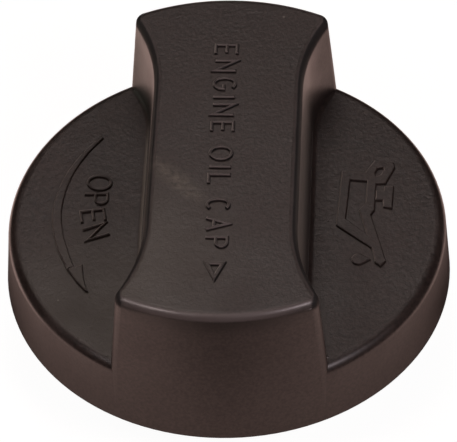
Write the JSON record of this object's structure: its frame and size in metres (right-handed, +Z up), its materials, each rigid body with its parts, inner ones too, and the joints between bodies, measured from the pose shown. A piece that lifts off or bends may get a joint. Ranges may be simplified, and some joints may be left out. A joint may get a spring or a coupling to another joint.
{
  "type": "oil filler cap",
  "caption": "Round black plastic cap with a waisted grip bar across its top, a bayonet stem below and a rubber seal ring; closes an engine's oil filler neck.",
  "frame": {"origin": "centre of the stem's lower rim, which the cap stands on when it is off the engine", "axes": "+Z up the cap's axis, out of the filler neck; Y along the grip bar, the triangle pointer at the -Y end"},
  "size_m": [0.064, 0.064, 0.0345],
  "materials": {
    "cap_plastic": "moulded, fine spark-eroded grain",
    "seal_rubber": "moulded, matt"
  },
  "bodies": {
    "root": {"cap_body": "cap_plastic", "seal_ring": "seal_rubber"}
  },
  "joints": []
}
